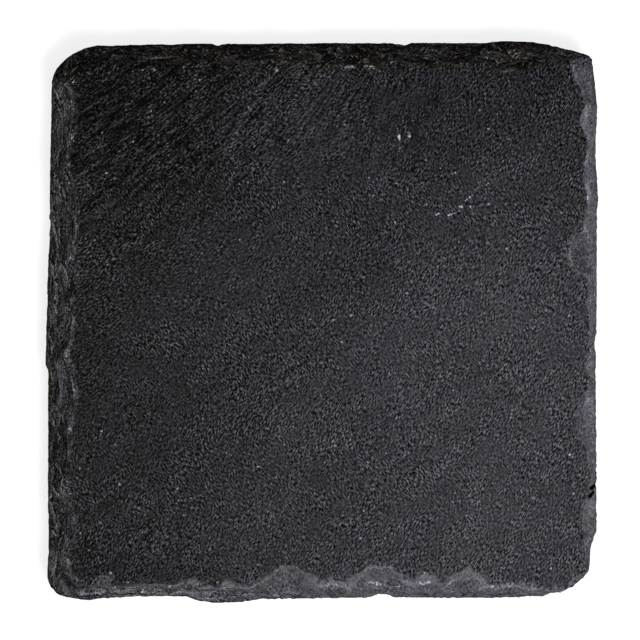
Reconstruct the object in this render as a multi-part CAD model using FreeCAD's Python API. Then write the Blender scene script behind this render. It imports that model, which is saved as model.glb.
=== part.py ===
import FreeCAD, Part
import math
import os

# A square slate coaster on four stuck-on foam feet, in millimetres.
# +X runs to the right, +Y away from the user and +Z up. The origin lies on the table,
# under the middle of the tile. The four edges are dressed by hand: each is an uneven
# line, and its upper arris is bevelled and knapped away in shells (flakes).

# tile
tile_width = 100.0
tile_depth = 101.6
tile_thickness = 5.0

# the corners: how far each one reaches along its two sides, and the turn of its arc
front_left_corner = 4.5
front_right_corner = 6.3
back_right_corner = 3.0
back_left_corner = 9.2
front_left_turn = 78.0
front_right_turn = 50.0
back_right_turn = 70.0
back_left_turn = 84.0

# the dressed bevel: its width on the top face along each side, and how far it drops
front_band = 2.9
right_band = 1.9
back_band = 3.9
left_band = 4.2
bevel_drop = 3.2

# a flake is a shallow spherical shell that meets the top face at this slope, in degrees
flake_slope = 42.0

# a terrace is a blunt triangle of split layer that is gone: its depth, and its wall's slope
terrace_depth = 0.6
terrace_slope = 50.0

# feet and the adhesive that holds them
foot_diameter = 12.0
foot_height = 2.0
foot_edge_radius = 0.4
foot_inset = 15.0
adhesive_diameter = 11.0
adhesive_thickness = 0.2

# Each side runs between its two corners, along +X or +Y. Its points are (way along that
# run, how far the edge lies inside the tile's overall size). On a tile of another size
# the ways along stretch with the run.
front_edge = [
    (0, 1.5), (3.5, 0.8), (12, 1.35), (20.9, 1.35), (23.5, 0.4), (26.8, 0),
    (31.3, 0.3), (34.5, 0.9), (54.2, 1.0), (55.1, 1.55), (56.7, 1.8), (57.7, 1.7),
    (58.4, 1.1), (79.5, 1.1), (84.5, 1.3), (85.5, 1.1), (86.1, 1.6), (89.2, 2.5),
]
right_edge = [
    (0, 1.8), (3.5, 1.6), (7, 0.5), (14.4, 0.5), (13.8, 1.8), (15.3, 0.5),
    (38.5, 0.6), (41, 0.9), (42.5, 0.4), (64.5, 0.4), (66.5, 0), (71.5, 0.5),
    (74.5, 0.6), (78.5, 0.4), (82.5, 0.4), (89, 0.9), (92.3, 1.6),
]
back_edge = [
    (0, 0.8), (14.4, 0.75), (14.8, 0.6), (20.8, 0.55), (22.3, 0.75), (23.8, 0.55),
    (52.8, 0.4), (54.8, 0.65), (56.8, 0.4), (70.8, 0.45), (71.8, 0.2), (74.8, 0),
    (77.8, 0.1), (80.8, 0.5), (84.8, 1.6), (87.8, 2.35),
]
left_edge = [
    (0, 0.75), (2.3, 0.6), (37.9, 0.55), (38.5, 0), (42.3, 0.2), (66.3, 0.8),
    (87.9, 1.2),
]

# Flakes of each side: (way along its run, width along the side, reach past the bevel).
front_flakes = [(2.4, 6, 1.2), (15.6, 12, 0.5), (47.3, 6, 1.2), (79.4, 10, 0.6)]
right_flakes = [
    (3, 7, 2.1), (9, 9, 2.2), (20.5, 5, 0.8), (27, 12, 2.6), (36, 5.5, 0.9),
    (56.8, 8.5, 3.9), (62, 5, 0.9), (71.5, 9, 0.9), (80.5, 6, 1.3), (87.5, 9, 2.5),
]
back_flakes = [
    (4.8, 11, 0.7), (14.8, 10, 0.6), (25.8, 13, 0.9), (37.8, 12, 0.7), (46.8, 9, 1.0),
    (57.8, 8, 1.6), (65.8, 9, 0.8), (74.3, 9, 2.2),
]
left_flakes = [
    (9.3, 9, 1.1), (24.3, 10, 0.5), (33.3, 12, 1.4), (45.3, 9, 1.2), (53.3, 10, 1.7),
    (64.3, 18, 1.7), (83.3, 13, 1.4),
]

# Terraces of the front: (way along its run, width at the bevel, reach past it, blunt tip).
front_terraces = [
    (6.1, 4.6, 2.3, 1.4), (21.5, 5.7, 1.5, 0.8), (28.8, 3.4, 1.1, 0.6), (36, 8, 2.1, 0.6),
    (39.5, 12, 4.3, 3.0), (43.2, 5, 2.0, 0.8), (55.9, 13, 4.5, 4.0), (64.3, 5, 2.8, 0.8),
    (71.8, 9, 4.2, 0.6),
]

# Flakes across the corners: width, and reach in from the corner arc.
front_left_flake = (7.0, 4.2)
front_right_flake = (6.5, 1.8)
back_right_flake = (5.0, 2.6)
back_left_flake = (13.0, 4.4)

half_width = tile_width / 2
half_depth = tile_depth / 2
tile_underside = foot_height + adhesive_thickness
tile_top = tile_underside + tile_thickness


def vector(x, y, z=0.0):
    return FreeCAD.Vector(x, y, z)


def way_along(edge, along, half_side, corner_at_start, corner_at_end):
    """Place along a side of a point that lies along its run between the corners."""
    start = corner_at_start - half_side
    end = half_side - corner_at_end
    nominal_run = edge[-1][0]
    return start + (end - start) * along / nominal_run


def front_point(along, inset):
    x = way_along(front_edge, along, half_width, front_left_corner, front_right_corner)
    return vector(x, inset - half_depth)


def right_point(along, inset):
    y = way_along(right_edge, along, half_depth, front_right_corner, back_right_corner)
    return vector(half_width - inset, y)


def back_point(along, inset):
    x = way_along(back_edge, along, half_width, back_left_corner, back_right_corner)
    return vector(x, half_depth - inset)


def left_point(along, inset):
    y = way_along(left_edge, along, half_depth, front_left_corner, back_left_corner)
    return vector(inset - half_width, y)


def corner_middle(start, end, turn):
    """Middle of the arc that leads anticlockwise from start to end through turn degrees."""
    chord = end - start
    outward = vector(chord.y, -chord.x)
    return (start + end) / 2 + outward / 2 * math.tan(math.radians(turn) / 4)


def side_points():
    """The four sides as lists of points, anticlockwise from the front one."""
    return [
        [front_point(along, inset) for along, inset in front_edge],
        [right_point(along, inset) for along, inset in right_edge],
        [back_point(along, inset) for along, inset in reversed(back_edge)],
        [left_point(along, inset) for along, inset in reversed(left_edge)],
    ]


def tile_outline():
    """The tile's widest line: four uneven sides joined by arcs."""
    sides = side_points()
    turns = [front_right_turn, back_right_turn, back_left_turn, front_left_turn]
    edges = []
    for number, points in enumerate(sides):
        for start, end in zip(points, points[1:]):
            edges.append(Part.LineSegment(start, end).toShape())
        start = points[-1]
        end = sides[(number + 1) % len(sides)][0]
        middle = corner_middle(start, end, turns[number])
        edges.append(Part.Arc(start, middle, end).toShape())
    return Part.Wire(edges)


def bevel_block():
    """A block whose four sloping faces are the planes of the dressed bevel."""
    spread = (tile_thickness - bevel_drop) / bevel_drop
    wires = []
    for height, grow in ((tile_underside, spread), (tile_top, -1)):
        left = -half_width - left_band * grow
        right = half_width + right_band * grow
        front = -half_depth - front_band * grow
        back = half_depth + back_band * grow
        corners = [vector(left, front, height), vector(right, front, height),
                   vector(right, back, height), vector(left, back, height)]
        wires.append(Part.makePolygon(corners + corners[:1]))
    return Part.makeLoft(wires, True, True)


def flake(tip, outward, width, reach):
    """A ball whose shell breaks the top face back to tip, width wide at its mouth."""
    mouth_radius = (width * width / 4 + reach * reach) / (2 * reach)
    slope = math.radians(flake_slope)
    centre = tip + outward * mouth_radius
    centre.z = tile_top + mouth_radius / math.tan(slope)
    return Part.makeSphere(mouth_radius / math.sin(slope), centre)


def side_flakes():
    """The flakes along the four sides."""
    sides = [
        (front_flakes, front_point, front_band, vector(0, -1)),
        (right_flakes, right_point, right_band, vector(1, 0)),
        (back_flakes, back_point, back_band, vector(0, 1)),
        (left_flakes, left_point, left_band, vector(-1, 0)),
    ]
    flakes = []
    for rows, point, band, outward in sides:
        for along, width, reach in rows:
            flakes.append(flake(point(along, band + reach), outward, width, reach))
    return flakes


def corner_flakes():
    """The flakes that take off the four corners, each square to its corner."""
    front, right, back, left = side_points()
    corners = [
        (front[-1], right[0], front_right_turn, front_right_flake),
        (right[-1], back[0], back_right_turn, back_right_flake),
        (back[-1], left[0], back_left_turn, back_left_flake),
        (left[-1], front[0], front_left_turn, front_left_flake),
    ]
    flakes = []
    for start, end, turn, (width, reach) in corners:
        chord = end - start
        outward = vector(chord.y, -chord.x).normalize()
        tip = corner_middle(start, end, turn) - outward * reach
        flakes.append(flake(tip, outward, width, reach))
    return flakes


def terrace(tip, outward, width, reach, crown):
    """A prism that takes one layer off the face, from its blunt tip out past the bevel."""
    across = vector(-outward.y, outward.x)
    spread = (width - crown) / 2 / reach
    length = 2 * reach + front_band
    wires = []
    for depth in (terrace_depth, -terrace_depth):
        inset = depth / math.tan(math.radians(terrace_slope))
        near = crown / 2 + spread * inset - inset * math.hypot(1, spread)
        far = near + spread * (length - inset)
        start = tip + outward * inset
        end = tip + outward * length
        points = [start + across * near, end + across * far, end - across * far, start - across * near]
        for point in points:
            point.z = tile_top - depth
        wires.append(Part.makePolygon(points + points[:1]))
    return Part.makeLoft(wires, True, True)


def terraces():
    """The terraces along the front."""
    outward = vector(0, -1)
    return [terrace(front_point(along, front_band + reach), outward, width, reach, crown)
            for along, width, reach, crown in front_terraces]


def slate_tile():
    face = Part.Face(tile_outline())
    face.translate(vector(0, 0, tile_underside))
    tile = face.extrude(vector(0, 0, tile_thickness))
    tile = tile.common(bevel_block())
    for shell in side_flakes() + corner_flakes() + terraces():
        tile = tile.cut(shell)
    return max(tile.Solids, key=lambda solid: solid.Volume)


def foot(centre):
    """A die-cut foam disc with its lower edge rounded by wear."""
    disc = Part.makeCylinder(foot_diameter / 2, foot_height, centre)
    lower_edges = [edge for edge in disc.Edges if edge.BoundBox.ZMax < foot_height / 2]
    return disc.makeFillet(min(foot_edge_radius, foot_height / 2), lower_edges).Solids[0]


def adhesive(centre):
    return Part.makeCylinder(adhesive_diameter / 2, adhesive_thickness,
                             centre + vector(0, 0, foot_height))


def foot_centres():
    """The feet stand under the four corners, foot_inset in from the tile's sides."""
    x = half_width - foot_inset
    y = half_depth - foot_inset
    return {
        "front_left": vector(-x, -y),
        "front_right": vector(x, -y),
        "back_right": vector(x, y),
        "back_left": vector(-x, y),
    }


def save(shape, node):
    shape.exportStep("parts/" + node + ".step")
    box = shape.optimalBoundingBox(False)
    print(node, "volume", round(shape.Volume, 2), "solids", len(shape.Solids),
          "valid", shape.isValid(), "size", round(box.XLength, 2), round(box.YLength, 2),
          round(box.ZLength, 2))


def main():
    os.makedirs("parts", exist_ok=True)
    save(slate_tile(), "slate_tile")
    for place, centre in foot_centres().items():
        save(foot(centre), "foot_" + place)
        save(adhesive(centre), "adhesive_" + place)


main()
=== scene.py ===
import math
import random

import bpy
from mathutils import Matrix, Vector, kdtree, noise


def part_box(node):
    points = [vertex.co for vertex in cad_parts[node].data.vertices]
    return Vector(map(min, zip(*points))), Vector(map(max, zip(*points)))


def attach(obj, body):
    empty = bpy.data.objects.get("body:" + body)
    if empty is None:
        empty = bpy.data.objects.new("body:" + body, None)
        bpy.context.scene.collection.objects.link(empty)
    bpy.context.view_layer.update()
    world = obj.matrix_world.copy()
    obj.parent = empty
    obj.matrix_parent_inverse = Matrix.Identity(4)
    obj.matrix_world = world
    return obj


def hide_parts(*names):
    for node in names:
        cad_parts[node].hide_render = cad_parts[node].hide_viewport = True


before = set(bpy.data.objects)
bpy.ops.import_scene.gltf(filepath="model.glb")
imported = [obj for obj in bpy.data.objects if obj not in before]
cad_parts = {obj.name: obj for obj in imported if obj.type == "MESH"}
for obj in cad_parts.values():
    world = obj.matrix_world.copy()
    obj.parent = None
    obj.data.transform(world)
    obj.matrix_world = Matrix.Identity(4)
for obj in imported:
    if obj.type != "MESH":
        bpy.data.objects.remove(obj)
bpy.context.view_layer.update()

mm = 0.001
print("frame loaded")


# 0 at low and 1 at high, eased in between
def smooth(low, high, value):
    share = min(max((value - low) / (high - low), 0.0), 1.0)
    return share * share * (3 - 2 * share)


# noise with lumps of one size in mm; every layer is another pattern
def noiseAt(x, y, size, layer):
    return noise.noise(Vector((x / size, y / size, layer)))


# noises added up, each given as size in mm, layer and share
def noiseSum(x, y, parts):
    return sum(share * noiseAt(x, y, size, layer) for size, layer, share in parts)


# a level vector of such noises, the same in every run
def levelNoise(x, y, parts):
    result = Vector()
    for size, layer, share in parts:
        across = noiseAt(x, y, size, layer)
        along = noiseAt(x, y, size, layer + 100.5)  # just another pattern
        result += Vector((across, along, 0)) * share
    return result


def newObject(name, data):
    made = bpy.data.objects.new(name, data)
    bpy.context.scene.collection.objects.link(made)
    return made


def only(piece):
    bpy.ops.object.select_all(action="DESELECT")
    piece.select_set(True)
    bpy.context.view_layer.objects.active = piece


# a tree to look up level places in
def treeOf(places):
    tree = kdtree.KDTree(len(places))
    for number, (x, y) in enumerate(places):
        tree.insert(Vector((x, y, 0)), number)
    tree.balance()
    return tree


# runs an operator on just the wanted faces
def editFaces(piece, wanted, operator, **settings):
    only(piece)
    bpy.ops.object.mode_set(mode="EDIT")
    bpy.ops.mesh.select_mode(type="FACE")
    bpy.ops.mesh.select_all(action="DESELECT")
    bpy.ops.object.mode_set(mode="OBJECT")
    for face in piece.data.polygons:
        face.select = wanted(face.center, face.normal)
    bpy.ops.object.mode_set(mode="EDIT")
    operator(**settings)
    bpy.ops.object.mode_set(mode="OBJECT")


def facesDown(centre, normal):
    return normal.z < -0.9


def addGrid(piece, size):
    grid = piece.modifiers.new("grid", "REMESH")
    grid.mode = "VOXEL"
    grid.voxel_size = size


def applyAll(piece):
    only(piece)
    for modifier in list(piece.modifiers):
        bpy.ops.object.modifier_apply(modifier=modifier.name)


def addNode(tree, kind, values=None, **settings):
    made = tree.nodes.new(kind)
    for name, value in settings.items():
        setattr(made, name, value)
    for socket, value in (values or {}).items():
        if isinstance(value, bpy.types.NodeSocket):
            tree.links.new(value, made.inputs[socket])
        else:
            made.inputs[socket].default_value = value
    return made


def newMaterial(name):
    material = bpy.data.materials.new(name)
    material.use_nodes = True
    material.node_tree.nodes.clear()
    return material, material.node_tree


def objectCoords(tree):
    return addNode(tree, "ShaderNodeTexCoord").outputs["Object"]


# noise whose grains lie along an angle, in degrees from +X, and are stretched along it
def grainAt(tree, coords, size, angle=0.0, stretch=1.0, detail=1.5, roughness=0.5, twist=0.0):
    turned = addNode(tree, "ShaderNodeMapping", {
        "Vector": coords, "Rotation": (0, 0, math.radians(angle)), "Scale": (stretch, 1, 1)},
        vector_type="TEXTURE")
    return texture(tree, turned.outputs[0], 1 / (size * mm), detail, roughness, twist)


def texture(tree, coords, scale, detail, roughness, twist=0.0):
    made = addNode(tree, "ShaderNodeTexNoise", {
        "Vector": coords, "Scale": scale, "Detail": detail, "Roughness": roughness,
        "Distortion": twist})
    return made.outputs["Fac"]


def ranged(tree, value, low, high, newLow=0.0, newHigh=1.0, kind="LINEAR"):
    made = addNode(tree, "ShaderNodeMapRange", {
        "Value": value, "From Min": low, "From Max": high, "To Min": newLow, "To Max": newHigh},
        interpolation_type=kind)
    return made.outputs["Result"]


def maths(tree, operation, first, second=0.0, third=0.0):
    made = addNode(tree, "ShaderNodeMath", {0: first, 1: second, 2: third}, operation=operation)
    return made.outputs[0]


def chained(tree, operation, values):
    result = values[0]
    for value in values[1:]:
        result = maths(tree, operation, result, value)
    return result


def total(tree, *values):
    return chained(tree, "ADD", values)


def product(tree, *values):
    return chained(tree, "MULTIPLY", values)


def largest(tree, *values):
    return chained(tree, "MAXIMUM", values)


# a noise or mask made to swing about zero, as far as strength
def swing(tree, value, strength, middle=0.5):
    return maths(tree, "MULTIPLY_ADD", value, strength, -middle * strength)


def between(tree, share, first, second):
    made = addNode(tree, "ShaderNodeMix", {0: share, 2: first, 3: second}, data_type="FLOAT")
    return made.outputs[0]


def mixed(tree, share, first, second, blend="MIX"):
    made = addNode(tree, "ShaderNodeMix", {0: share, 6: first, 7: second},
                   data_type="RGBA", blend_type=blend)
    return made.outputs[2]


def attributeOf(tree, name):
    return addNode(tree, "ShaderNodeAttribute", attribute_name=name).outputs["Fac"]


def bumped(tree, height, distance, strength=1.0, over=None, invert=False):
    values = {"Height": height, "Distance": distance, "Strength": strength}
    if over is not None:
        values["Normal"] = over
    return addNode(tree, "ShaderNodeBump", values, invert=invert).outputs[0]


# ends a material, with its dictionary's roughness and gloss
def addSurface(tree, look, colour, relief):
    shader = addNode(tree, "ShaderNodeBsdfPrincipled", {
        "Base Color": colour, "Roughness": look["roughness"],
        "Specular IOR Level": look["specular"], "Normal": relief})
    addNode(tree, "ShaderNodeOutputMaterial", {"Surface": shader.outputs[0]})


# the shape of the stone, in mm; noises are given as size, layer and share
tile = {
    "voxel": 0.5 * mm,  # grid of the face, halved on the dressed edges
    "mergeWithin": 0.001 * mm,
    "undersideRatio": 0.16,  # share of the underside's faces that is kept
    "fineBand": (0.12, 0.1),  # the finer grid ends this far from face and underside
    "skin": (0.04, 0.4),  # between these depths a face turns into the edge
    "faceDepth": 0.1,  # the face ends at this depth, and the arris starts
    "arrisDepth": 0.8,
    "inset": 0.01,  # the stone stays this far inside its box

    # riven face
    "faceRelief": 0.08,
    "swells": [(24, 2.0, 1.0), (10, 5.0, 0.5)],
    "fanCentre": (25.0, 75.0),  # the splitting streaks run towards this point
    "streaks": [(45, 0.07, 3.0, 1.0), (90, 0.11, 9.0, 0.6)],  # per radian, per mm, layer, share
    "streakRelief": 0.05,
    "streakGain": 1.6,
    "streakCorner": (-45, 45, 80, 10),  # they grow towards this corner, from 80 mm off to 10
    "leastStreaks": 0.2,
    "steps": (8, 0.035, 6.0),  # shallow steps between streaks: per radian, per mm, layer
    "stepSharpness": 9,
    "stepRelief": 0.03,
    "grain": (0.9, 1.0),  # size, layer
    "grainRelief": 0.02,
    "undersideRelief": 1.2,  # as a share of the face's
    "footRest": (7.0, 9.0),  # flat this near to a foot's middle, and then fading in

    # terraces of split layers on the broken edges
    "laminaThickness": 0.55,
    "laminaRelief": 0.11,
    "laminaTilt": 0.010,
    "laminaArch": (4.5, 4.0, 1.6),
    "laminaWander": (2, 8.0, 0.25),
    "laminaLength": 16,
    "laminaSharpness": 7.0,
    "laminaOnTop": 0.3,  # share that is left where an edge faces up

    # shells knapped off each side: how many, least and greatest reach, depth, how far in their
    # middles lie, and their width over their reach
    "leftShells": (60, 1.2, 4.6, 0.34, 2.2, 2.0),
    "backShells": (60, 0.8, 2.4, 0.26, 4.2, 3.0),
    "rightShells": (40, 0.7, 1.8, 0.16, 2.2, 3.0),
    "frontShells": (44, 0.7, 1.8, 0.18, 3.0, 3.0),
    "seed": 7,
    "smallShells": 1.5,  # the more over 1, the more small shells
    "shellOutside": (0.5, 0.4),  # how far out a middle may lie, in mm and in reaches
    "fullDish": 2.0,  # shells of less reach are shallower
    "shellStep": 0.12,  # drop at the rim of a shell
    "shellWarps": [(2.2, 50.0, 1.0), (0.8, 51.0, 0.4)],
    "shellWarp": 0.8,
    "calmerLeft": 0.4,  # how much less the shells of the left are warped
    "shellSearch": (-40, 9.5, 6.0),  # sought 9.5 mm around left of this x, elsewhere 6
    "gapWidth": 0.3,  # painted shadow in the gap outside a rim
    "ridgeWidth": (0.04, 0.33),  # light ridge inside it: crushed stone and a painted highlight
    "ridgeFront": (-42, -45),  # in the front left corner the ridges are weaker
    "ridgeLeft": (-39, -42),
    "weakerRidge": 0.6,
    "flatterLeft": 0.2,

    # wear and small breaks of the edges
    "wearSizes": (1.7, 0.65),
    "fineWear": 0.9,
    "edgeWear": 0.07,
    "facesUp": (0.1, 0.5),  # height of the normals of an edge that faces up
    "smoothCorner": (-46.4, 47.3, 8.0, 0.4, 0.25),  # place, reach, smooth share, least wear
    "raggedness": 0.24,  # small lumps of the right and front outline
    "lumps": (0.8, 2, 70),  # size, height over size, layer
    "lumpClusters": (5, 73.0, -0.35, 0.45),
    "raggedRight": (45, 47),
    "raggedFront": (-46, -48),

    "chips": [(1.3, 30.0, 1.0), (0.6, 31.0, 0.5)],
    "chipEdge": (-0.1, 0.5),
    "nibbleWidth": 0.9,  # how far the arris is nibbled into the face
    "nibbleFade": (0.2, 1.0),
    "nibbleDepth": 0.22,
    "strays": [(2.4, 60.0, 1.0), (0.9, 61.0, 0.4)],
    "edgeWarp": 0.38,  # how far the arris strays from its line
    "strayMargin": (0.5, 3.0),
    "strayDepth": (0.6, 2.8),

    # small shifts of the outline: place, spread, shift
    "shifts": [
        (-44.0, -50.3, 4.0, 0.0, -0.40), (-48.6, -48.6, 3.5, -0.22, -0.20),
        (-48.4, 45.0, 4.5, -0.26, 0.12), (-44.0, 49.3, 3.0, 0.06, -0.24),
        (46.6, -47.0, 3.5, -0.12, 0.14), (42.8, -48.6, 2.0, 0.0, -0.22),
        (47.8, 48.5, 1.6, -0.12, -0.14), (-18.9, 50.3, 0.9, 0.0, -0.22),
        (15.1, 50.3, 1.2, 0.0, -0.26), (-49.2, -45.5, 4.0, -0.30, 0.0),
        (-46.9, -49.4, 1.7, -0.05, -0.26), (48.6, 47.4, 2.0, 0.10, 0.12),
    ],
    # cracks: their two ends and widths
    "cracks": [(49.9, -28.8, 48.55, -29.9, 0.36), (48.95, -30.6, 48.25, -31.4, 0.22)],
    "crackEdge": (0.5, 1.2),  # from full depth to none, in widths
    "crackDepth": 1.3,
    "cracksFrom": 47,  # x
    "crackFloor": 1,  # least height that stays under a crack
}
tileLow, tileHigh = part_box("slate_tile")
topZ = tileHigh.z / mm
underZ = tileLow.z / mm
footCentres = [sum(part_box(name), Vector()) / 2 / mm
               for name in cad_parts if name.startswith("foot")]


# a merged copy of the tile on an even grid that is finer on the dressed edges
def copyOfTile():
    piece = newObject("riven_tile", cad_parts["slate_tile"].data.copy())
    editFaces(piece, lambda centre, normal: True,
              bpy.ops.mesh.remove_doubles, threshold=tile["mergeWithin"])
    addGrid(piece, tile["voxel"])
    applyAll(piece)
    editFaces(piece, facesDown, bpy.ops.mesh.decimate, ratio=tile["undersideRatio"])

    fromFace, fromUnderside = tile["fineBand"]
    bandTop = tileHigh.z - fromFace * mm
    bandFoot = tileLow.z + fromUnderside * mm
    editFaces(piece, lambda centre, normal: bandFoot < centre.z < bandTop,
              bpy.ops.mesh.subdivide, number_cuts=1)
    return piece


# how far the riven face lies below the highest point of the stone
def faceDrop(x, y):
    fanX, fanY = tile["fanCentre"]
    angle = math.atan2(y - fanY, x - fanX)
    distance = math.hypot(x - fanX, y - fanY)

    def fanned(around, outward, layer):
        return noise.noise(Vector((angle * around, distance * outward, layer)))

    cornerX, cornerY, far, near = tile["streakCorner"]
    corner = smooth(far, near, math.hypot(x - cornerX, y - cornerY))
    streakShare = tile["leastStreaks"] + (1 - tile["leastStreaks"]) * corner
    streak = sum(share * fanned(*settings) for *settings, share in tile["streaks"])
    step = math.tanh(tile["stepSharpness"] * fanned(*tile["steps"]))
    drop = tile["faceRelief"] * (1 + noiseSum(x, y, tile["swells"]))
    drop += tile["streakRelief"] * (1 + streak * streakShare * tile["streakGain"])
    drop += tile["stepRelief"] * (1 + step * streakShare)
    return drop + tile["grainRelief"] * (1 + noiseAt(x, y, *tile["grain"]))


# terrace of the split layers on a broken edge: -1 to 1, with sharp risers
def laminaShift(x, y, z):
    tilt = tile["laminaTilt"] * (y - x)
    arch = abs(noiseSum(x, y, [tile["laminaArch"]]))
    wander = arch + noiseSum(x, y, [tile["laminaWander"]])
    level = (z + tilt + wander) / tile["laminaThickness"]
    return math.tanh(tile["laminaSharpness"] * noiseAt(x, y, tile["laminaLength"], level))


# the knapped shells, oldest first: x, y, their sizes, reach, depth, shade
def scatterShells():
    halfX = tileHigh.x / mm
    halfY = tileHigh.y / mm
    sides = [("leftShells", lambda along, inset: (inset - halfX, along), halfY),
             ("backShells", lambda along, inset: (along, halfY - inset), halfX),
             ("rightShells", lambda along, inset: (halfX - inset, along), halfY),
             ("frontShells", lambda along, inset: (along, inset - halfY), halfX)]
    outside, outsideShare = tile["shellOutside"]
    shells = []
    for name, placed, half in sides:
        random.seed(tile["seed"])
        count, least, greatest, depth, band, spread = tile[name]
        wide, deep = (1, spread) if half == halfY else (spread, 1)
        for number in range(count):
            along = half * (2 * (number + random.random()) / count - 1)
            reach = least + (greatest - least) * random.random() ** tile["smallShells"]
            inset = random.uniform(-outside, band) - outsideShare * reach
            age = inset + reach + random.uniform(-1, 1)
            x, y = placed(along, inset)
            dish = depth * random.uniform(0.5, 1.0) * min(1, reach / tile["fullDish"])
            shells.append((age, x, y, reach * wide, reach * deep, reach, dish, random.random()))
    return [shell[1:] for shell in sorted(shells, reverse=True)]


# the youngest shell at a place: its depth, how far in from its rim the place lies, and its shade,
# and as the fourth 1 in the gap at the rim of a younger one, where a shadow is painted
def shellAt(x, y, shells, tree):
    warp = levelNoise(x, y, tile["shellWarps"])
    warp *= tile["shellWarp"] * (1 - tile["calmerLeft"] * zoned("left", x))
    x += warp.x
    y += warp.y
    leftEnd, leftRadius, radius = tile["shellSearch"]
    owner = -1
    inside = depth = gap = 0.0
    shade = 0.5
    beside = []
    for _, number, _ in tree.find_range(Vector((x, y, 0)), leftRadius if x < leftEnd else radius):
        shellX, shellY, sizeX, sizeY, reach, dish, tint = shells[number]
        out = math.hypot((x - shellX) / sizeX, (y - shellY) / sizeY)
        if out >= 1:
            beside.append((number, (out - 1) * reach))
        elif number > owner:
            owner, inside, shade = number, (1 - out) * reach, tint
            depth = tile["shellStep"] + dish * (1 - out * out)
    for number, away in beside:
        if number > owner and away < tile["gapWidth"]:
            gap = max(gap, 1 - away / tile["gapWidth"])
    return depth, inside, shade, gap


def crackAt(x, y):
    crack = 0.0
    full, none = tile["crackEdge"]
    for startX, startY, endX, endY, width in tile["cracks"]:
        runX = endX - startX
        runY = endY - startY
        share = ((x - startX) * runX + (y - startY) * runY) / (runX ** 2 + runY ** 2)
        share = min(max(share, 0.0), 1.0)
        away = math.hypot(x - startX - share * runX, y - startY - share * runY)
        crack = max(crack, 1 - smooth(width * full, width * none, away))
    return crack


# the small shifts of the outline, added up
def shiftAt(x, y):
    shift = Vector()
    for placeX, placeY, spread, shiftX, shiftY in tile["shifts"]:
        away = math.hypot(x - placeX, y - placeY)
        if away < spread:
            shift += Vector((shiftX, shiftY, 0)) * (1 - smooth(0, spread, away))
    return shift


# distance from every vertex of the face to the arris, in mm, 0 on the edges
def marginsOf(mesh):
    depths = [topZ - vertex.co.z / mm for vertex in mesh.vertices]
    places = [vertex.co.xy for vertex in mesh.vertices]
    arris = treeOf([place for place, depth in zip(places, depths)
                    if tile["faceDepth"] < depth < tile["arrisDepth"]])
    return [0.0 if depth > tile["faceDepth"] else arris.find(place.to_3d())[2] / mm
            for place, depth in zip(places, depths)]


# how far a dressed edge is pushed out along its normal, before the shells are taken off
def edgePush(x, y, z, place, upward):
    coarse, fine = tile["wearSizes"]
    wear = noise.noise(Vector((x / coarse, y / coarse, z)))
    wear += tile["fineWear"] * noise.noise(place / fine)
    cornerX, cornerY, reach, smoothShare, leastWear = tile["smoothCorner"]
    broken = smooth(smoothShare * reach, reach, math.hypot(x - cornerX, y - cornerY))
    push = tile["laminaRelief"] * laminaShift(x, y, z) * (1 - (1 - tile["laminaOnTop"]) * upward)
    return (push + tile["edgeWear"] * wear) * (leastWear + (1 - leastWear) * broken)


# small lumps of the outline at the right and the front
def lumpAt(x, y, z):
    size, tall, layer = tile["lumps"]
    clusterSize, clusterLayer, none, full = tile["lumpClusters"]
    lump = noiseAt(x, y, size, z / tall + layer)
    lump *= smooth(none, full, noiseAt(x, y, clusterSize, clusterLayer))
    ragged = max(smooth(*tile["raggedRight"], x), smooth(*tile["raggedFront"], y))
    return tile["raggedness"] * lump * ragged


# moves a point of the stone, and gives the marks of its shell and the cracks
def sculptPoint(x, y, z, normal, margin, shells, shellPlaces):
    depth = topZ - z
    height = z - underZ
    face = 1 - smooth(*tile["skin"], depth)
    under = 1 - smooth(*tile["skin"], height)
    side = max(0.0, 1 - face - under)
    place = Vector((x, y, z))
    marks = {"layer": z, "shade": 0.5, "ridge": 0.0, "gap": 0.0, "crack": 0.0}
    if face > 0:
        nibble = smooth(*tile["chipEdge"], noiseSum(x, y, tile["chips"]))
        nibble *= 1 - smooth(*tile["nibbleFade"], margin / tile["nibbleWidth"])
        place.z -= face * (faceDrop(x, y) + tile["nibbleDepth"] * nibble)
    if side > 0:
        upward = smooth(*tile["facesUp"], normal.z)
        dish, inside, marks["shade"], gap = shellAt(x, y, shells, shellPlaces)
        push = edgePush(x, y, z, place, upward) - dish * upward + lumpAt(x, y, z) * (1 - upward)
        place += normal * (push * side) + shiftAt(x, y)
        if inside > 0:
            corner = smooth(*tile["ridgeFront"], y) * smooth(*tile["ridgeLeft"], x)
            marks["ridge"] = (1 - smooth(*tile["ridgeWidth"], inside)) * side * upward
            marks["ridge"] *= 1 - tile["weakerRidge"] * corner
            marks["layer"] += (inside - z) * upward * (1 - tile["flatterLeft"] * zoned("left", x))
        marks["gap"] = gap * side * upward
    stray = 1 - smooth(*tile["strayMargin"], margin)
    stray *= 1 - smooth(*tile["strayDepth"], depth)
    if stray > 0:
        place += levelNoise(x, y, tile["strays"]) * (tile["edgeWarp"] * stray)
    if under > 0:
        nearFoot = min(math.hypot(x - foot.x, y - foot.y) for foot in footCentres)
        relief = tile["undersideRelief"] * faceDrop(-y, x)
        place.z += under * smooth(*tile["footRest"], nearFoot) * relief
    if x > tile["cracksFrom"] and height > tile["crackFloor"]:
        marks["crack"] = crackAt(x, y)
        place.z -= marks["crack"] * min(tile["crackDepth"], height - tile["crackFloor"])
    return place, marks


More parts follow.
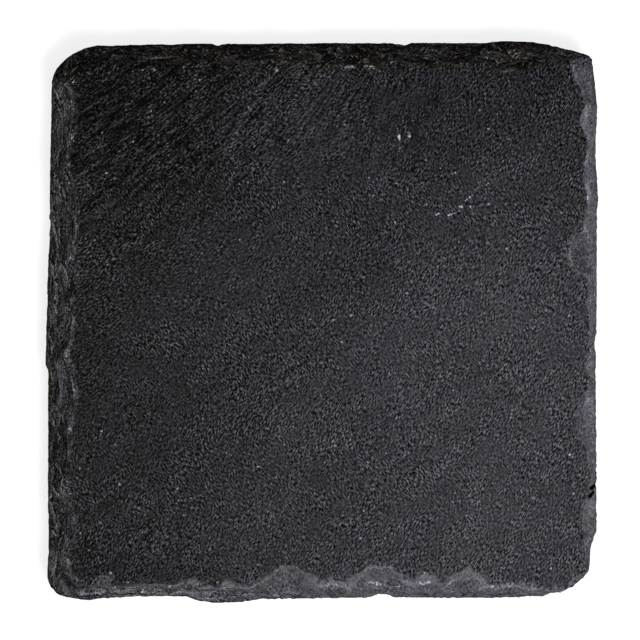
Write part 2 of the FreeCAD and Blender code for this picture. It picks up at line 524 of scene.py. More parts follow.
# where the looks of the stone lie. A zone goes from 0 at its first number to 1, or to its third,
# at its second. They are x or y in mm, a margin, into the face from the arris, or a depth.
dressing = {
    "left": (-43, -45),
    "right": (43, 45),
    "back": (44.2, 46.4),
    "backWander": (5, 40.0, 0.8),  # noise of the line where the back edge's film begins
    "backLeft": (38, 0.22),  # left of -38 that line comes forward, by this for each mm
    "backRight": 1.3,  # and at the right it goes back by this

    "bruisedLeft": (-43.5, -45, 0.85),
    "bruisedLeftFrom": (-47, -43),
    "bruisedBack": (44, 46, 0.45),
    "bruisedElsewhere": 0.35,
    "sparedFront": (-44, -46, 0.25),
    "sparedLeft": (-36, -40),
    "bruisedMargin": (1.4, 0.2),
    "bruisedDepth": (0.3, 0.9, 1.4),  # full down to, none below, and how much deeper at the left

    "wornRight": (43, 46, 0.9),
    "wornRightFrom": (-6, 4),
    "wornRightMargin": (0.5, 0.15),
    "wornLeft": (-42, -44, 0.6),
    "wornMargin": (1.3, 0.3),
    "wornFront": (-44.8, -45.6),
    "wornFrontFrom": (-42, -37, 0.75),
    "wornFrontLeast": 0.25,
    "wornFrontShare": (0.7, 0.4),  # and what it gains where the worn margin is wider
    "wider": (-28, -33, 0.5),
    "dressedDepth": (0.02, 0.5),
    "undersideLean": (-0.3, -0.8),  # height of the normals that belong to the underside

    "plainCorner": (48.0, -47.0, 6.0, 12.0, 0.55),  # hardly dressed within 6 mm, fading to 12
    "facet": (44.2, 47.6, 47.0, 40.0),  # ends of the inner line of the facet at the back right
    "facetRight": (43, 44),
    "facetBack": (39.4, 40.4),
    "facetChips": 0.3,
    "facetEdge": (-0.3, 0.3),
    "facetLight": (0.5, 0.1),  # light line, whose middle lies facetLine beyond the edge
    "facetLine": 0.25,
    "rimLineMargin": (0.4, 0.0),
    "rimLineDepth": (0.8, 0.25),
    "rimLineFrom": (6, 14),
    "brinkReach": 2.0,

    "coolRight": (0.0, 40.0),
    "coolFront": (-36, -46),
    "coolFrontShares": [(-47, -42, 0.4), (-25, 5, 0.15)],
    "coolFrontLeast": 0.45,
    "calmRight": (43, 46, 0.55),
    "calmFront": (-43, -46, 0.5),
    "calmFrontFrom": (-30, 5),
    "filmEnd": (47, 40),
}


def zoned(name, value):
    low, high, *strength = dressing[name]
    return smooth(low, high, value) * (strength[0] if strength else 1)


# the marks that a place on the stone has by where it lies
def marksAt(x, y, z, lean, margin):
    depth = topZ - z
    under = 1 - smooth(*tile["skin"], z - underZ)
    cornerFrom, cornerSlope = dressing["backLeft"]
    backLine = y + noiseSum(x, y, [dressing["backWander"]]) + cornerSlope * max(0, -x - cornerFrom)
    back = zoned("back", backLine - dressing["backRight"] * zoned("right", x))

    spared = zoned("sparedFront", y) * zoned("sparedLeft", x)
    bruised = max(zoned("bruisedLeft", x) * zoned("bruisedLeftFrom", y), zoned("bruisedBack", y),
                  dressing["bruisedElsewhere"] - spared)
    full, deepest, leftDeeper = dressing["bruisedDepth"]
    bruised *= 1 - smooth(full, deepest + leftDeeper * zoned("left", x), depth)

    wornRight = zoned("wornRightMargin", margin) * zoned("wornRight", x) * zoned("wornRightFrom", y)
    wornLeft = zoned("wornLeft", x) * zoned("wornMargin", margin)
    wider = zoned("wider", x)
    frontShare, frontGain = dressing["wornFrontShare"]
    wornFront = zoned("wornFront", y) * (dressing["wornFrontLeast"] + zoned("wornFrontFrom", x))
    wornFront *= (frontShare + frontGain * wider) * zoned("wornMargin", margin - wider)
    dressed = max(zoned("dressedDepth", depth), wornRight, wornLeft, wornFront)
    cornerX, cornerY, near, far, least = dressing["plainCorner"]
    dressed *= least + (1 - least) * smooth(near, far, math.hypot(x - cornerX, y - cornerY))

    # the facet at the back right, and the light line inside it and along the right edge
    startX, startY, endX, endY = dressing["facet"]
    beyond = x - startX - (endX - startX) * (y - startY) / (endY - startY)
    beyond += dressing["facetChips"] * noiseSum(x, y, tile["chips"])
    facet = zoned("facetRight", x) * zoned("facetBack", y)
    dressed += facet * (zoned("facetEdge", beyond) - dressed)
    rimLine = zoned("rimLineMargin", margin) * zoned("rimLineDepth", depth) * zoned("right", x)
    rimLine += facet * (zoned("facetLight", abs(beyond - dressing["facetLine"])) - rimLine)

    coolFront = dressing["coolFrontLeast"]
    for low, high, share in dressing["coolFrontShares"]:
        coolFront += share * smooth(low, high, x)
    cool = max(zoned("coolRight", x), zoned("coolFront", y) * coolFront)
    calm = max(zoned("calmRight", x), zoned("calmFront", y) * zoned("calmFrontFrom", x))
    return {
        "rim": bruised * zoned("bruisedMargin", margin),
        "rimLine": rimLine * zoned("rimLineFrom", y) * (1 - back),
        "brink": min(margin, dressing["brinkReach"]) if depth <= tile["faceDepth"] else -depth,
        "dressed": dressed * (1 - under * zoned("undersideLean", lean)),
        "cool": cool * (1 - back),
        "calm": calm * (1 - back),
        "film": back * zoned("filmEnd", x),
    }


# moves every vertex, for the riven face, layered edges and underside, and marks it
def sculptTile(piece):
    mesh = piece.data
    shells = scatterShells()
    shellPlaces = treeOf([shell[:2] for shell in shells])
    inset = tile["inset"]
    limits = [(low / mm + inset, high / mm - inset) for low, high in zip(tileLow, tileHigh)]
    marks = {}
    moved = []
    for vertex, margin in zip(mesh.vertices, marginsOf(mesh)):
        x, y, z = vertex.co / mm
        place, found = sculptPoint(x, y, z, vertex.normal, margin, shells, shellPlaces)
        found.update(marksAt(x, y, z, vertex.normal.z, margin))
        for name, value in found.items():
            marks.setdefault(name, []).append(value)
        place = Vector([min(max(value, low), high) for value, (low, high) in zip(place, limits)])
        moved.append(place * mm)
    for vertex, place in zip(mesh.vertices, moved):
        vertex.co = place
    for name, values in marks.items():
        mesh.attributes.new(name, "FLOAT", "POINT").data.foreach_set("value", values)
    mesh.update()
    return list(marks)


# the looks of the stone. Tones are as the eye reads them, 0 black to 1 white, and become albedo at
# the end. A zone is an axis, from and to in mm, and the values there if not 0 and 1; along Z the
# numbers are depths below the top. A noise is size in mm, angle in degrees, stretch, detail and
# roughness. A patchy mask is a noise and its range that becomes 0 to 1, or two other values.
slate = {
    "faceTone": 0.196,
    # painted shade: the face darkens towards the left and the back, standing in for light falling
    # off away from the lamp at the front right
    "paintedShadeLeft": ("X", -55, 15, -0.070, -0.004),
    "paintedShadeBack": ("Y", 0, 48, 0.0, -0.060),
    # broad light and dark patches of the face: x and y in mm, radius, tone
    "patches": [(-8.4, 35.6, 18, 0.024), (0.6, 10.0, 24, -0.026), (36.8, -0.5, 15, 0.012),
                (-35, 18, 14, -0.014)],
    "mottle": 0.10,
    "mottleNoise": (14, 35, 1.6, 5.0, 0.65),
    "grainSize": 0.26,  # mm
    "grainStretch": 2.2,
    "grainDetail": (1.0, 0.5, 0.2),  # detail, roughness, twist
    "grainAngles": (62, 38, -56),  # most of the face, the back left, and across both
    "grainBackLeft": (0.0, 50),  # y less x, in mm
    # the grain's tone follows its bump, darker where low: the stone's grain and painted shade in
    # its pits
    "grainAndPitShade": 0.76,
    "waveLength": 25,  # the crossing grain comes in waves along y, in mm
    "wavePhase": 0.85,
    "waveShare": 0.13,
    "crossingNoise": (5.0, 0, 2.2, 2.0),
    "crossingRight": ("X", 15, 45, 0.0, -0.16),
    "crossingLeft": ("X", -45, -25, -0.14, 0.0),
    "crossingBack": ("Y", 26, 32, 0.0, -0.2),
    "crossingEdge": (0.48, 0.54),
    "streaksPerRadian": 100.0,
    "streakLength": 6.25,  # mm
    "streakDetail": (3.0, 0.6),
    "streakContrast": 0.46,
    "streakTilt": -0.35,
    "streakRange": (18, 46, 0.15, 1.0),  # y and tilt times x, in mm, and the share there
    "liveliness": ((3.0, 50, 1.6, 3.0), (0.35, 0.65, 0.65, 1.35)),

    "leftTone": 0.190,
    # the right and front edges are lighter: fresh-broken stone and a painted sheen
    "rightToneWithSheen": 0.290,
    "backTone": ("X", -42, -34, 0.078, 0.106),
    "fineNoise": (0.26, 60, 1.5, 2.0, 0.6),
    "bandContrast": 0.86,
    "blotchNoise": (1.3, 0, 1.3, 4.0, 0.65),
    "blotchContrast": 0.20,
    "shadeContrast": 0.04,  # from shell to shell
    "strataLength": 5.0,  # mm
    "strataSize": 0.34,
    "strataDetail": (2.0, 0.6, 0.3),
    "strataRange": (0.36, 0.68),
    "strataMiddle": 0.42,
    "strataContrast": 0.22,
    "broken": ((1.8, 0, 1.0, 2.0), (0.38, 0.56)),  # where thin lines are broken off
    # crushed stone and a painted highlight along the rims of the shells
    "ridgeCrushAndHighlight": 0.25,
    # painted shadow in the gap outside the rim of a younger shell
    "gapShadowDark": 0.19,
    "calmRough": (0.0, 1.0, 1.0, 0.45),  # how much grain a calm edge and the film leave
    "filmRough": (0.0, 1.0, 1.0, 0.78),
    "calmLayers": (0.0, 0.7, 1.0, 0.1),  # and how much of the layers
    "filmLayers": (0.0, 1.0, 1.0, 0.65),
    "scratchNoises": [(0.32, 52, 9.0, 0.5), (0.32, -47, 9.0, 0.5)],
    "scratchRange": (0.67, 0.76),
    "scratchLight": 0.26,
    "frontDarker": ("Y", -46, -44, -0.05, 0.0),
    "frontDarkerFrom": ("X", -34, -26, 0.8, 1.0),
    # painted shadow: a dark line along the outer foot of the edges
    "outerDarker": ("Z", 3.2, 2.5, -0.05, 0.0),
    "outerFrom": ("X", -46, -42, 0.3, 1.0),
    "innerDarker": ("Z", 2.2, 1.2, 0.0, -0.055),  # the inner part of the flakes on the right
    "innerFrom": ("X", 40, 43),
    "innerTo": ("X", 46.8, 48.0, 1.0, 0.0),
    "innerFront": ("Y", 35, 39, 1.0, 0.0),

    "terraceFront": ("Y", -47, -43, 1.0, 0.0),
    "terraceDepth": ("Z", 1.3, 0.9),
    "terraceLight": ("X", -36, -12, 0.013, 0.065),
    "terraceGrain": -0.4,  # the terraces have less of the face's grain
    "terraceRidge": 0.7,
    "layeredFrom": ("X", -43, -39, 0.3, 1.0),  # layered foot below the front left terraces
    "layeredTo": ("X", -30, -26, 1.0, 0.0),
    "layeredFront": ("Y", -48, -47, 1.0, 0.0),
    "wallFoot": ("Z", 0.62, 0.50),
    "wallTop": ("Z", 0.34, 0.22, 1.0, 0.0),
    # painted highlight: a light line along the terrace walls, where the step catches the light
    "wallHighlight": 0.09,

    "wornEdge": (0.7, 20, 1.3, 2.0),
    "wornSwing": 1.2,
    "dressedRange": (0.30, 0.60),
    "rimLight": 0.11,  # the broken light line inside the right edge
    "facetBack": ("Y", 38.5, 40.5),
    "facetRight": ("X", 43, 45),
    "facetDarker": 0.045,
    # thin light lines along the front left: how far from the arris, and how they fade
    "upperLine": (-0.15, (0.06, 0.24, 1.0, 0.0)),
    "lowerLine": (1.0, (0.04, 0.16, 0.4, 0.0)),
    "linesFrom": ("X", -46.5, -45.0),
    "linesTo": ("X", -24, -14, 1.0, 0.0),
    "linesFront": ("Y", -46.0, -45.2, 1.0, 0.0),
    "brinkLight": 0.10,

    # bruises on the face: x, y, length, width, angle in degrees, strength
    "bruises": [
        (4.8, 45.9, 2.6, 1.0, 5, 1.0), (8.3, 45.9, 2.8, 1.1, -8, 1.0),
        (-31.2, 45.4, 4.4, 0.7, 0, 0.85), (-24.6, 46.0, 2.2, 1.0, 60, 0.85),
        (-8.2, 45.5, 1.0, 0.9, 0, 1.0), (10.0, -47.2, 4.0, 0.9, -15, 0.9),
        (18.6, -47.0, 3.2, 0.9, 5, 0.9), (13.4, 35.2, 1.8, 0.4, -72, 0.85),
        (13.9, 33.1, 1.7, 0.75, -75, 1.05), (14.1, 31.2, 1.2, 0.4, -80, 0.8),
        (15.7, 33.8, 1.6, 0.75, -78, 1.05), (15.3, 32.8, 0.9, 0.4, 40, 0.9),
        (15.0, 35.4, 0.9, 0.4, 60, 0.9), (16.8, 30.4, 1.2, 0.7, 20, 0.75),
        (25.0, 20.8, 1.0, 0.7, 30, 1.2), (26.4, 22.3, 3.0, 0.35, 37, 0.9),
        (30.0, 25.0, 5.5, 0.35, 37, 0.65), (20.9, 19.4, 1.2, 0.5, 25, 1.3),
        (23.4, 19.4, 3.6, 0.45, 23, 0.95), (24.7, 20.0, 0.7, 0.5, 0, 0.9),
        (23.9, 26.8, 2.6, 0.5, 30, 0.75), (26.7, 20.8, 0.6, 0.5, 0, 0.9),
        (8.8, 24.9, 1.6, 0.7, 40, 0.85), (-2.0, 39.0, 3.0, 0.4, 50, 0.65),
        (14.0, 26.0, 3.0, 0.4, 62, 0.65), (47.8, 22.2, 2.6, 0.4, 86, 1.1),
        (44.6, -23.9, 0.5, 0.4, 0, 1.2), (26.0, -34.8, 0.6, 0.4, 0, 0.9),
        (-14.9, 24.8, 0.5, 0.4, 0, 1.0),
    ],
    "bruiseFade": (0.5, 1.5),  # from the middle, in half sizes
    "bruiseDepth": ("Z", 1.6, 1.2),
    "bruiseRange": (0.72, 1.35),
    "bruiseTone": 0.68,
    "dotNoise": (0.38, 0, 1.0, 1.0),
    "dotSwing": 2.2,
    "clusters": ((3.5, 0, 1.0, 2.0), (0.42, 0.58)),
    "rimShare": 0.85,
    "rimRange": (0.78, 1.15, 0.0, 0.8),
    "specks": ((0.8, 0, 1.0, 0.0), (0.82, 0.86, 0.0, 0.6)),
    "darkest": 0.03,

    "plainTint": (1.0, 0.995, 1.08, 1),
    # bluish tint of the right and front edges and of the face's right part: fresh-broken stone and
    # a painted sheen
    "coolFreshAndSheenTint": (1.0, 0.96, 1.17, 1),
    "coolFace": ("X", -25, 10),
    "coolFrom": ("X", -45, -10, 0.4, 1.0),
    "coolPatches": ((6.0, 30, 1.5, 3.0), (0.38, 0.55, 0.3, 1.0)),
    "coolSpots": ((2.2, 30, 1.5, 2.0), (0.40, 0.56, 0.4, 1.1)),
    "filmTint": (1.0, 0.95, 0.82, 1),  # brown-olive film of the back edge
    "filmLeft": ("X", -47, -44, 0.35, 0.0),
    "filmFoot": ("Z", 3.0, 2.2, 0.6, 0.0),
    "filmPatches": ((3.0, 0, 1.8, 2.0), (0.35, 0.6)),
    "stainTint": (1.0, 0.76, 0.66, 1),  # reddish stain at the foot of the back edge
    "stainDepth": ("Z", 2.6, 1.6, 1.0, 0.0),
    "stainPatches": ((7.0, 0, 2.0, 2.0), (0.40, 0.55)),
    "stainDark": 0.03,
    "gamma": 2.2,
    "grainBump": 0.05 * mm,
    "strataBump": 0.12 * mm,
    "roughness": 0.70,
    "specular": 0.02,
}


# a zone, or several multiplied
def zoneOf(tree, place, *names, kind="LINEAR"):
    zones = []
    for name in names:
        axis, low, high, *values = slate[name]
        if axis == "Z":
            low, high = topZ - low, topZ - high
        zones.append(ranged(tree, place[axis], low * mm, high * mm, *values, kind=kind))
    return product(tree, *zones)


def noiseOf(tree, coords, name):
    return grainAt(tree, coords, *slate[name])


def patchOf(tree, coords, name):
    settings, spread = slate[name]
    return ranged(tree, grainAt(tree, coords, *settings), *spread)


# three grains: slanted at the back left, steep elsewhere, and one across both in waves
def faceGrain(tree, coords, place):
    stretch = slate["grainStretch"]
    steep, slanted, crossing = [
        grainAt(tree, coords, slate["grainSize"], angle, stretch, *slate["grainDetail"])
        for angle in slate["grainAngles"]]
    start, end = slate["grainBackLeft"]
    backLeft = maths(tree, "SUBTRACT", place["Y"], place["X"])
    backLeft = ranged(tree, backLeft, start * mm, end * mm, kind="SMOOTHSTEP")
    turns = 2 * math.pi / (slate["waveLength"] * mm)
    wave = maths(tree, "COSINE", maths(tree, "MULTIPLY_ADD", place["Y"], turns, slate["wavePhase"]))
    crossed = total(
        tree, product(tree, wave, slate["waveShare"]), noiseOf(tree, coords, "crossingNoise"),
        zoneOf(tree, place, "crossingRight"), zoneOf(tree, place, "crossingLeft"),
        zoneOf(tree, place, "crossingBack"))
    crossed = ranged(tree, crossed, *slate["crossingEdge"])
    return between(tree, crossed, between(tree, backLeft, steep, slanted), crossing)


# streaks left by the splitting, fanned out from one point
def fanStreaks(tree, place):
    fanX, fanY = tile["fanCentre"]
    fromX = maths(tree, "SUBTRACT", place["X"], fanX * mm)
    fromY = maths(tree, "SUBTRACT", place["Y"], fanY * mm)
    angle = maths(tree, "ARCTAN2", fromY, fromX)
    squared = total(tree, product(tree, fromX, fromX), product(tree, fromY, fromY))
    reach = maths(tree, "SQRT", squared)
    fanCoords = addNode(tree, "ShaderNodeCombineXYZ", {
        0: product(tree, angle, slate["streaksPerRadian"]),
        1: product(tree, reach, 1 / (slate["streakLength"] * mm))}).outputs[0]
    streak = texture(tree, fanCoords, 1.0, *slate["streakDetail"])
    low, high, least, most = slate["streakRange"]
    share = maths(tree, "MULTIPLY_ADD", place["X"], slate["streakTilt"], place["Y"])
    share = ranged(tree, share, low * mm, high * mm, least, most, "SMOOTHSTEP")
    return product(tree, share, swing(tree, streak, slate["streakContrast"]))


def faceTones(tree, coords, place, flat, grain):
    mottle = swing(tree, noiseOf(tree, coords, "mottleNoise"), slate["mottle"])
    for x, y, radius, light in slate["patches"]:
        away = addNode(tree, "ShaderNodeVectorMath", {0: flat, 1: (x * mm, y * mm, 0)},
                       operation="DISTANCE").outputs["Value"]
        mottle = total(tree, mottle, ranged(tree, away, 0.0, radius * mm, light, 0.0, "SMOOTHSTEP"))
    return total(
        tree, slate["faceTone"],
        # painted shade, darker towards the left and the back of the face
        zoneOf(tree, place, "paintedShadeLeft", kind="SMOOTHSTEP"),
        zoneOf(tree, place, "paintedShadeBack", kind="SMOOTHSTEP"),
        mottle,
        fanStreaks(tree, place),
        # grain tone: the stone's grain and painted shade in the pits of its bump
        product(tree, patchOf(tree, coords, "liveliness"),
                swing(tree, grain, slate["grainAndPitShade"])))


# the layers that the shells cut through
def strataOf(tree, place, layer):
    length = slate["strataLength"] * mm
    layers = addNode(tree, "ShaderNodeCombineXYZ", {
        0: product(tree, place["X"], 1 / length), 1: product(tree, place["Y"], 1 / length),
        2: product(tree, layer, 1 / slate["strataSize"])}).outputs[0]
    return ranged(tree, texture(tree, layers, 1.0, *slate["strataDetail"]), *slate["strataRange"])


# dressed edges, with the terraces of the face's own stone along the front
def edgeTones(tree, coords, place, marks, faceTone, grain, fine, strata, broken, layered):
    def zones(*names):
        return zoneOf(tree, place, *names)

    film = marks["film"]
    rough = product(tree, ranged(tree, marks["calm"], *slate["calmRough"]),
                    ranged(tree, film, *slate["filmRough"]))
    scratch = [grainAt(tree, coords, *settings) for settings in slate["scratchNoises"]]
    scratch = largest(tree, *scratch)
    scratch = product(tree, ranged(tree, scratch, *slate["scratchRange"]), slate["scratchLight"])
    blotch = swing(tree, noiseOf(tree, coords, "blotchNoise"), slate["blotchContrast"])
    # light rim lines: crushed stone and a painted highlight
    ridge = product(tree, marks["ridge"], layered, broken, slate["ridgeCrushAndHighlight"])
    # lighter towards the right and front edges: fresh-broken stone and a painted sheen
    edgeTone = between(tree, marks["cool"], slate["leftTone"], slate["rightToneWithSheen"])
    edgeTone = between(tree, film, edgeTone, zoneOf(tree, place, "backTone"))
    edgeTone = total(
        tree, edgeTone,
        product(tree, zones("frontDarker", "frontDarkerFrom"), marks["cool"]),
        # painted shadow line along the outer foot of the edges
        product(tree, zones("outerDarker", "outerFrom"), rough),
        zones("innerDarker", "innerFrom", "innerTo", "innerFront"),
        blotch, ridge,
        product(tree, film, scratch),
        swing(tree, marks["shade"], slate["shadeContrast"]),
        product(tree, rough, swing(tree, fine, slate["bandContrast"])),
        # painted shadow in the gaps at the rims of younger shells
        product(tree, marks["gap"], layered, broken, -slate["gapShadowDark"]),
        product(tree, layered, swing(tree, strata, slate["strataContrast"], slate["strataMiddle"])))

    unlayered = maths(tree, "SUBTRACT", 1.0, zones("layeredFrom", "layeredTo", "layeredFront"))
    terraced = product(tree, zones("terraceFront", "terraceDepth"), unlayered)
    terraceTone = total(
        tree, faceTone, zoneOf(tree, place, "terraceLight"), blotch,
        swing(tree, grain, slate["terraceGrain"] * slate["grainAndPitShade"]),
        # painted highlight along the terrace walls
        product(tree, zones("wallFoot", "wallTop"), slate["wallHighlight"]),
        product(tree, ridge, slate["terraceRidge"]))
    return between(tree, terraced, edgeTone, terraceTone)


# the light lines of the right edge and of the front left, and the darker facet at the back right
def lineTones(tree, place, marks, broken):
    rimLine = product(tree, marks["rimLine"], broken, slate["rimLight"])
    facet = product(tree, zoneOf(tree, place, "facetBack", "facetRight"),
                    marks["dressed"], -slate["facetDarker"])
    lines = []
    for name in ("upperLine", "lowerLine"):
        offset, fade = slate[name]
        away = maths(tree, "ABSOLUTE", total(tree, marks["brink"], offset))
        lines.append(ranged(tree, away, *fade))
    brinkLine = product(tree, largest(tree, *lines), broken, slate["brinkLight"],
                        zoneOf(tree, place, "linesTo", "linesFront", "linesFrom"))
    return total(tree, rimLine, facet, brinkLine)


# crushed specks in the bruises and along the arris, and the open face's pale specks
def crushedShare(tree, coords, place, flat, marks):
    bruise = 0.0
    for x, y, length, width, angle, strength in slate["bruises"]:
        turned = addNode(tree, "ShaderNodeMapping", {
            "Vector": flat, "Location": (x * mm, y * mm, 0),
            "Rotation": (0, 0, math.radians(angle)),
            "Scale": (length / 2 * mm, width / 2 * mm, 1)}, vector_type="TEXTURE")
        away = addNode(tree, "ShaderNodeVectorMath", {0: turned.outputs[0]}, operation="LENGTH")
        away = away.outputs["Value"]
        bruise = largest(tree, bruise, ranged(tree, away, *slate["bruiseFade"], strength, 0.0))
    dots = swing(tree, noiseOf(tree, coords, "dotNoise"), slate["dotSwing"])
    bruise = total(tree, product(tree, bruise, zoneOf(tree, place, "bruiseDepth")), dots)
    rim = product(tree, marks["rim"], patchOf(tree, coords, "clusters"), slate["rimShare"])
    return largest(tree, ranged(tree, total(tree, rim, dots), *slate["rimRange"]),
                   ranged(tree, bruise, *slate["bruiseRange"]),
                   patchOf(tree, coords, "specks"))


# the bluish tint on the right and front is fresh-broken stone and a painted sheen
def slateTint(tree, coords, place, marks, stain):
    violet = largest(tree, marks["cool"], zoneOf(tree, place, "coolFace"))
    violet = product(tree, violet, zoneOf(tree, place, "coolFrom"),
                     patchOf(tree, coords, "coolPatches"), patchOf(tree, coords, "coolSpots"))
    tint = mixed(tree, violet, slate["plainTint"], slate["coolFreshAndSheenTint"])
    filmed = total(tree, marks["film"], zoneOf(tree, place, "filmLeft"),
                   product(tree, marks["dressed"], zoneOf(tree, place, "filmFoot")))
    filmed = product(tree, filmed, patchOf(tree, coords, "filmPatches"))
    tint = mixed(tree, filmed, tint, slate["filmTint"])
    return mixed(tree, stain, tint, slate["stainTint"])


def slateMaterial(markNames):
    material, tree = newMaterial("riven slate")
    coords = objectCoords(tree)
    place = addNode(tree, "ShaderNodeSeparateXYZ", {0: coords}).outputs
    flat = addNode(tree, "ShaderNodeCombineXYZ", {0: place["X"], 1: place["Y"]}).outputs[0]
    marks = {name: attributeOf(tree, name) for name in markNames}

    grain = faceGrain(tree, coords, place)
    faceTone = faceTones(tree, coords, place, flat, grain)
    fine = noiseOf(tree, coords, "fineNoise")
    strata = strataOf(tree, place, marks["layer"])
    broken = patchOf(tree, coords, "broken")
    layered = product(tree, ranged(tree, marks["calm"], *slate["calmLayers"]),
                      ranged(tree, marks["film"], *slate["filmLayers"]))
    edgeTone = edgeTones(tree, coords, place, marks, faceTone, grain, fine, strata, broken, layered)
    worn = swing(tree, noiseOf(tree, coords, "wornEdge"), slate["wornSwing"])
    dressed = ranged(tree, total(tree, marks["dressed"], worn), *slate["dressedRange"])
    tone = between(tree, dressed, faceTone, edgeTone)
    tone = total(tree, tone, lineTones(tree, place, marks, broken))
    tone = between(tree, crushedShare(tree, coords, place, flat, marks), tone, slate["bruiseTone"])
    # painted shadow: the crack is darkened to near black, as the shade deep in the slit
    tone = between(tree, marks["crack"], tone, slate["darkest"])
    stain = product(tree, marks["film"], zoneOf(tree, place, "stainDepth"),
                    patchOf(tree, coords, "stainPatches"))
    tone = total(tree, tone, product(tree, stain, -slate["stainDark"]))
    albedo = maths(tree, "POWER", largest(tree, tone, slate["darkest"]), slate["gamma"])
    colour = mixed(tree, 1.0, albedo, slateTint(tree, coords, place, marks, stain), "MULTIPLY")

    relief = bumped(tree, between(tree, dressed, grain, fine), slate["grainBump"])
    layers = product(tree, strata, marks["dressed"], layered)
    addSurface(tree, slate, colour, bumped(tree, layers, slate["strataBump"], over=relief))
    return material


rivenTile = copyOfTile()
print("tile grid:", len(rivenTile.data.polygons), "faces")
markNames = sculptTile(rivenTile)
only(rivenTile)
bpy.ops.object.shade_smooth()
print("tile sculpted")
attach(rivenTile, "root")
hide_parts("slate_tile")
rivenTile.data.materials.clear()
rivenTile.data.materials.append(slateMaterial(markNames))
print("slate finished")


foam = {
    "voxel": 0.2 * mm,
    "sides": 96,
    "edgeBevel": 0.35 * mm,
    "bevelSteps": 4,
    "cellSize": 0.45 * mm,
    "cellDepth": 0.07 * mm,
    "cellEdge": (0.1, 0.6),
    "cellBump": (0.1 * mm, 0.6),  # distance, strength
    "colour": (0.016, 0.016, 0.017, 1),
    "cellColour": (0.006, 0.006, 0.006, 1),
    "dustColour": (0.06, 0.058, 0.055, 1),
    "dustSize": 3.3,  # mm
    "dustDetail": 3.0,
    "dustRange": (0.55, 0.8, 0, 0.35),
    "roughness": 0.9,
    "specular": 0.25,
}


def foamMaterial():
    material, tree = newMaterial("black foam")
    coords = objectCoords(tree)
    cells = addNode(tree, "ShaderNodeTexVoronoi", {
        "Vector": coords, "Scale": 1 / foam["cellSize"]}).outputs[0]
    dust = grainAt(tree, coords, foam["dustSize"], detail=foam["dustDetail"])
    dust = ranged(tree, dust, *foam["dustRange"])
    colour = mixed(tree, ranged(tree, cells, *foam["cellEdge"]), foam["colour"], foam["cellColour"])
    colour = mixed(tree, dust, colour, foam["dustColour"])
    addSurface(tree, foam, colour, bumped(tree, cells, *foam["cellBump"], invert=True))
    return material


# a die-cut foam disc, its lower edge rounded and its cells open all over
def foamFoot(node, material):
    low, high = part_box(node)
    bpy.ops.mesh.primitive_cylinder_add(
        vertices=foam["sides"], radius=(high.x - low.x) / 2 - foam["cellDepth"] / 2,
        depth=high.z - low.z, location=(low + high) / 2)
    piece = bpy.context.object
    piece.name = node.replace("foot", "foam_foot")
    bpy.ops.object.transform_apply()
    editFaces(piece, facesDown, bpy.ops.mesh.bevel,
              offset=foam["edgeBevel"], segments=foam["bevelSteps"])
    addGrid(piece, foam["voxel"])
    cellTexture = bpy.data.textures.new(piece.name + " cells", "VORONOI")
    cellTexture.noise_scale = foam["cellSize"]
    cells = piece.modifiers.new("cells", "DISPLACE")
    cells.texture = cellTexture
    cells.texture_coords = "LOCAL"
    cells.strength = foam["cellDepth"]
    cells.mid_level = 1.0
    applyAll(piece)
    for vertex in piece.data.vertices:
        vertex.co = [min(max(value, least), most)
                     for value, least, most in zip(vertex.co, low, high)]
    bpy.ops.object.shade_smooth()
    piece.data.materials.append(material)
    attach(piece, "root")
    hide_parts(node)


adhesive = {
    "bubbleSize": 1.1,  # mm
    "bubbleDetail": 2.0,
    "bubbleBump": (0.05 * mm, 0.5),  # distance, strength
    "colour": (0.52, 0.49, 0.40, 1),
    "bubbleColour": (0.74, 0.71, 0.62, 1),
    "roughness": 0.4,
    "specular": 0.5,
}


def adhesiveMaterial():
    material, tree = newMaterial("acrylic adhesive")
    bubbles = grainAt(tree, objectCoords(tree), adhesive["bubbleSize"],
                      detail=adhesive["bubbleDetail"])
    colour = mixed(tree, bubbles, adhesive["colour"], adhesive["bubbleColour"])
    addSurface(tree, adhesive, colour, bumped(tree, bubbles, *adhesive["bubbleBump"]))
    return material


blackFoam = foamMaterial()
acrylic = adhesiveMaterial()
for node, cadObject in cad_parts.items():
    if node.startswith("foot"):
        foamFoot(node, blackFoam)
    elif node.startswith("adhesive"):
        cadObject.data.materials.clear()
        cadObject.data.materials.append(acrylic)
print("feet and adhesive finished")


studio = {
    "floorSize": 3.0,
    "floorAlbedo": 0.28,
    "floorLift": 0.78,  # camera-only lift of the floor to white
    "worldStrength": 0.42,
    "keyPlace": (0.25, -0.38, 0.50),
    "keySize": 0.35,
    "keyEnergy": 6.2,
    "keyAim": (0.0, 0.0, 0.005),
}
photo = {
    "width": 640,  # pixels
    "scale": 5.53,  # pixels per mm at the tile's widest line
    "widestLine": 1.5,  # mm, its height over the underside
    "objectCentre": (321.9, 322.0),
    "distance": 700.0,  # mm, from that line to the camera
    "sensor": 36.0,
}


# 1 for what the camera, a reflection or clear material sees, 0 for light on the object
def seenShare(tree):
    path = addNode(tree, "ShaderNodeLightPath").outputs
    return largest(tree, path["Is Camera Ray"], path["Is Glossy Ray"], path["Is Transmission Ray"])


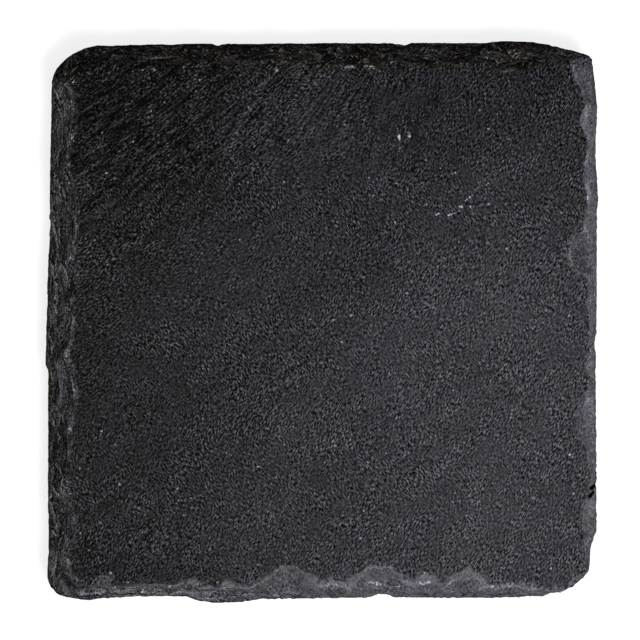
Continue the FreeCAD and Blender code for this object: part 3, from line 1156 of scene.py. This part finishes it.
def makeFloor():
    bpy.ops.mesh.primitive_plane_add(size=studio["floorSize"], location=(0, 0, 0))
    floor = bpy.context.object
    floor.name = "floor"
    material, tree = newMaterial("pale floor")
    albedo = studio["floorAlbedo"]
    plain = addNode(tree, "ShaderNodeBsdfDiffuse", {"Color": (albedo, albedo, albedo, 1)})
    lift = addNode(tree, "ShaderNodeEmission", {
        "Color": (1, 1, 1, 1), "Strength": product(tree, seenShare(tree), studio["floorLift"])})
    both = addNode(tree, "ShaderNodeAddShader", {0: plain.outputs[0], 1: lift.outputs[0]})
    addNode(tree, "ShaderNodeOutputMaterial", {"Surface": both.outputs[0]})
    floor.data.materials.append(material)


def makeWorld():
    world = bpy.data.worlds.new("studio")
    world.use_nodes = True
    tree = world.node_tree
    tree.nodes.clear()
    strength = ranged(tree, seenShare(tree), 0.0, 1.0, studio["worldStrength"], 1.0)
    light = addNode(tree, "ShaderNodeBackground", {"Color": (1, 1, 1, 1), "Strength": strength})
    addNode(tree, "ShaderNodeOutputWorld", {"Surface": light.outputs[0]})
    bpy.context.scene.world = world


def makeKey():
    lamp = bpy.data.lights.new("key", "AREA")
    lamp.size = studio["keySize"]
    lamp.energy = studio["keyEnergy"]
    holder = newObject("key", lamp)
    holder.location = studio["keyPlace"]
    direction = Vector(studio["keyAim"]) - holder.location
    holder.rotation_euler = direction.to_track_quat("-Z", "Y").to_euler()


# straight above, with the object where the photograph has it in the frame
def makeCamera():
    camera = bpy.data.cameras.new("camera")
    holder = newObject("camera", camera)
    centreX, centreY = photo["objectCentre"]
    offX = (photo["width"] / 2 - centreX) / photo["scale"]
    offY = (centreY - photo["width"] / 2) / photo["scale"]
    height = underZ + photo["widestLine"] + photo["distance"]
    holder.location = Vector((offX, offY, height)) * mm
    camera.sensor_width = photo["sensor"]
    camera.lens = photo["sensor"] * photo["distance"] * photo["scale"] / photo["width"]
    bpy.context.scene.camera = holder


makeFloor()
makeWorld()
makeKey()
makeCamera()
bpy.context.scene.view_settings.view_transform = "Standard"
print("studio finished")
